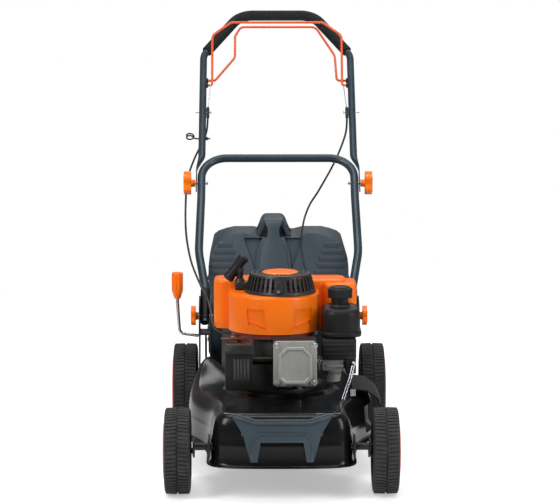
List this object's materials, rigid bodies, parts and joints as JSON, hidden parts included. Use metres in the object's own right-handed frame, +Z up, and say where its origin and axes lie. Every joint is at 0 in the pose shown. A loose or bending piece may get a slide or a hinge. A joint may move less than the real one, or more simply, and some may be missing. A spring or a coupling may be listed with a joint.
{
  "type": "walk-behind lawn mower",
  "caption": "Walk-behind petrol rotary lawn mower with pressed deck, vertical-shaft engine, rear grass box, height lever and folding handle with two bails.",
  "frame": {"origin": "middle of the bounding box on the ground under the tyres", "axes": "+Z up, -Y towards the nose and the way it cuts, +X towards the machine's own left side"},
  "size_m": [0.5104, 1.3751, 0.9835],
  "materials": {
    "deck_black": "gloss paint",
    "bracket_black": "satin paint",
    "slate_plastic": "fine moulded grain",
    "slate_paint": "semi-gloss paint",
    "black_plastic": "moulded",
    "orange_gloss": "glossy",
    "red_plastic": "glossy",
    "red_paint": "gloss paint",
    "cast_alloy": "cast, blasted",
    "bright_steel": "zinc plated",
    "dark_steel": "oiled",
    "muffler_steel": "bare sheet",
    "belt_rubber": "matt",
    "rope_fabric": "braided",
    "wheel_tread": "matt moulded tread",
    "foam": "closed-cell foam",
    "cable_skin": "satin"
  },
  "bodies": {
    "chassis": {"deck": "deck_black", "front_handle": "slate_plastic", "axle_brackets": "bracket_black", "handle_brackets": "bracket_black", "discharge_chute": "black_plastic", "flap_rods": "bright_steel", "engine_block": "bracket_black", "valve_cover": "cast_alloy", "engine_bolts": "bright_steel", "shroud": "orange_gloss", "recoil_cover": "black_plastic", "recoil_disc": "orange_gloss", "muffler": "muffler_steel", "muffler_guard": "bracket_black", "carburettor": "cast_alloy", "fuel_tank": "black_plastic", "gearbox": "cast_alloy", "drive_belt": "belt_rubber", "cable_a": "cable_skin", "cable_b": "cable_skin", "recoil_rope": "rope_fabric"},
    "rotor": {"crankshaft": "bright_steel", "flywheel": "cast_alloy", "blade_adapter": "dark_steel", "blade": "dark_steel", "blade_bolt": "bright_steel"},
    "starter_pulley": {"recoil_pulley": "black_plastic"},
    "starter_grip": {"recoil_handle": "black_plastic"},
    "gear_input": {"gear_pulley": "dark_steel"},
    "drive_line": {"drive_shaft": "bright_steel"},
    "front_axle": {"front_axle": "dark_steel"},
    "rear_axle": {"rear_axle": "dark_steel", "height_lever": "bright_steel", "lever_grip": "orange_gloss"},
    "link": {"link_rod": "bright_steel"},
    "wheel_front_left": {"wheel_front_left": "wheel_tread", "hubcap_front_left": "red_plastic"},
    "wheel_front_right": {"wheel_front_right": "wheel_tread", "hubcap_front_right": "red_plastic"},
    "wheel_rear_left": {"wheel_rear_left": "wheel_tread", "hubcap_rear_left": "red_plastic"},
    "wheel_rear_right": {"wheel_rear_right": "wheel_tread", "hubcap_rear_right": "red_plastic"},
    "lower_handle": {"lower_handle": "slate_paint"},
    "upper_handle": {"upper_handle": "slate_paint", "foam_grip": "foam", "cable_clamps": "black_plastic", "rope_guide": "bright_steel"},
    "bail_a": {"bail_a": "red_paint"},
    "bail_b": {"bail_b": "red_paint"},
    "knob_upper_left": {"knob_upper_left": "orange_gloss"},
    "knob_upper_right": {"knob_upper_right": "orange_gloss"},
    "knob_lower_left": {"knob_lower_left": "orange_gloss"},
    "knob_lower_right": {"knob_lower_right": "orange_gloss"},
    "grass_box": {"grass_box": "slate_plastic"},
    "rear_flap": {"rear_flap": "black_plastic"},
    "side_flap": {"side_flap": "black_plastic"},
    "fuel_cap": {"fuel_cap": "black_plastic"},
    "air_filter_cover": {"air_filter_cover": "black_plastic"},
    "brake_arm": {"brake_arm": "bright_steel"}
  },
  "joints": [
    {"name": "blade_spin", "type": "hinge", "parent": "chassis", "child": "rotor", "pos_m": [0, -0.3055, 0], "axis": [0, 0, 1], "continuous": true},
    {"name": "gear_input_spin", "type": "hinge", "parent": "chassis", "child": "gear_input", "pos_m": [0.095, -0.0475, 0], "axis": [0, 0, 1], "continuous": true},
    {"name": "drive_spin", "type": "hinge", "parent": "chassis", "child": "drive_line", "pos_m": [0, 0.0085, 0.125], "axis": [1, 0, 0], "continuous": true},
    {"name": "starter_pull", "type": "slide", "parent": "chassis", "child": "starter_grip", "axis": [0, 0, 1], "range_m": [0, 0.5], "stiffness_N_per_m": 20, "deforming": ["recoil_rope"]},
    {"name": "starter_turn", "type": "hinge", "parent": "chassis", "child": "starter_pulley", "pos_m": [0, -0.3055, 0], "axis": [0, 0, 1], "range_deg": [0, 573]},
    {"name": "height_set", "type": "hinge", "parent": "chassis", "child": "rear_axle", "pos_m": [0, 0.0085, 0.125], "axis": [1, 0, 0], "range_deg": [-24, 24]},
    {"name": "height_front", "type": "hinge", "parent": "chassis", "child": "front_axle", "pos_m": [0, -0.6115, 0.11], "axis": [1, 0, 0], "range_deg": [-24, 24]},
    {"name": "link_swing", "type": "hinge", "parent": "rear_axle", "child": "link", "pos_m": [0, 0.0085, 0.157], "axis": [1, 0, 0], "range_deg": [-24, 24]},
    {"name": "roll_front_left", "type": "hinge", "parent": "front_axle", "child": "wheel_front_left", "pos_m": [0, -0.5755, 0.093], "axis": [1, 0, 0], "continuous": true},
    {"name": "roll_front_right", "type": "hinge", "parent": "front_axle", "child": "wheel_front_right", "pos_m": [0, -0.5755, 0.093], "axis": [1, 0, 0], "continuous": true},
    {"name": "roll_rear_left", "type": "hinge", "parent": "rear_axle", "child": "wheel_rear_left", "pos_m": [0, 0.0445, 0.108], "axis": [1, 0, 0], "continuous": true},
    {"name": "roll_rear_right", "type": "hinge", "parent": "rear_axle", "child": "wheel_rear_right", "pos_m": [0, 0.0445, 0.108], "axis": [1, 0, 0], "continuous": true},
    {"name": "lower_fold", "type": "hinge", "parent": "chassis", "child": "lower_handle", "pos_m": [0, -0.0255, 0.295], "axis": [1, 0, 0], "range_deg": [0, 108], "deforming": ["cable_a", "cable_b"]},
    {"name": "upper_fold", "type": "hinge", "parent": "lower_handle", "child": "upper_handle", "pos_m": [0, 0.2595, 0.578], "axis": [-1, 0, 0], "range_deg": [-138, 0]},
    {"name": "bail_a_squeeze", "type": "hinge", "parent": "upper_handle", "child": "bail_a", "pos_m": [0, 0.49317, 0.80173], "axis": [-1, 0, 0], "range_deg": [0, 12.5], "stiffness_Nm_per_rad": 3, "springref_deg": -20.05},
    {"name": "bail_b_squeeze", "type": "hinge", "parent": "upper_handle", "child": "bail_b", "pos_m": [0, 0.51292, 0.81214], "axis": [-1, 0, 0], "range_deg": [0, 17], "stiffness_Nm_per_rad": 3, "springref_deg": -20.05},
    {"name": "brake_swing", "type": "hinge", "parent": "chassis", "child": "brake_arm", "pos_m": [-0.096, -0.3335, 0], "axis": [0, 0, 1], "range_deg": [0, 18.75]},
    {"name": "knob_upper_left_turn", "type": "hinge", "parent": "lower_handle", "child": "knob_upper_left", "pos_m": [0, 0.2595, 0.578], "axis": [1, 0, 0], "continuous": true},
    {"name": "knob_upper_right_turn", "type": "hinge", "parent": "lower_handle", "child": "knob_upper_right", "pos_m": [0, 0.2595, 0.578], "axis": [1, 0, 0], "continuous": true},
    {"name": "knob_lower_left_turn", "type": "hinge", "parent": "chassis", "child": "knob_lower_left", "pos_m": [0, -0.0255, 0.295], "axis": [1, 0, 0], "continuous": true},
    {"name": "knob_lower_right_turn", "type": "hinge", "parent": "chassis", "child": "knob_lower_right", "pos_m": [0, -0.0255, 0.295], "axis": [1, 0, 0], "continuous": true},
    {"name": "box_off", "type": "slide", "parent": "chassis", "child": "grass_box", "axis": [0, 0.9063, 0.4226], "range_m": [0, 0.4]},
    {"name": "rear_flap_lift", "type": "hinge", "parent": "chassis", "child": "rear_flap", "pos_m": [0, 0.0725, 0.316], "axis": [1, 0, 0], "range_deg": [0, 75]},
    {"name": "side_flap_lift", "type": "hinge", "parent": "chassis", "child": "side_flap", "pos_m": [0.16, -0.5755, 0.187], "axis": [0, -1, 0], "range_deg": [0, 75], "stiffness_Nm_per_rad": 0.5, "springref_deg": -17.19},
    {"name": "fuel_cap_turn", "type": "hinge", "parent": "chassis", "child": "fuel_cap", "pos_m": [0.133, -0.3305, 0], "axis": [0, 0, 1], "continuous": true},
    {"name": "air_filter_off", "type": "slide", "parent": "chassis", "child": "air_filter_cover", "axis": [0, -1, 0], "range_m": [0, 0.06]}
  ],
  "couplings": [
    {"joint": "gear_input_spin", "follows": "blade_spin", "ratio": 1},
    {"joint": "starter_turn", "follows": "starter_pull", "rad_per_m": 20},
    {"joint": "height_front", "follows": "height_set", "ratio": 1},
    {"joint": "link_swing", "follows": "height_set", "ratio": -1},
    {"joint": "brake_swing", "follows": "bail_a_squeeze", "ratio": 1.5}
  ]
}
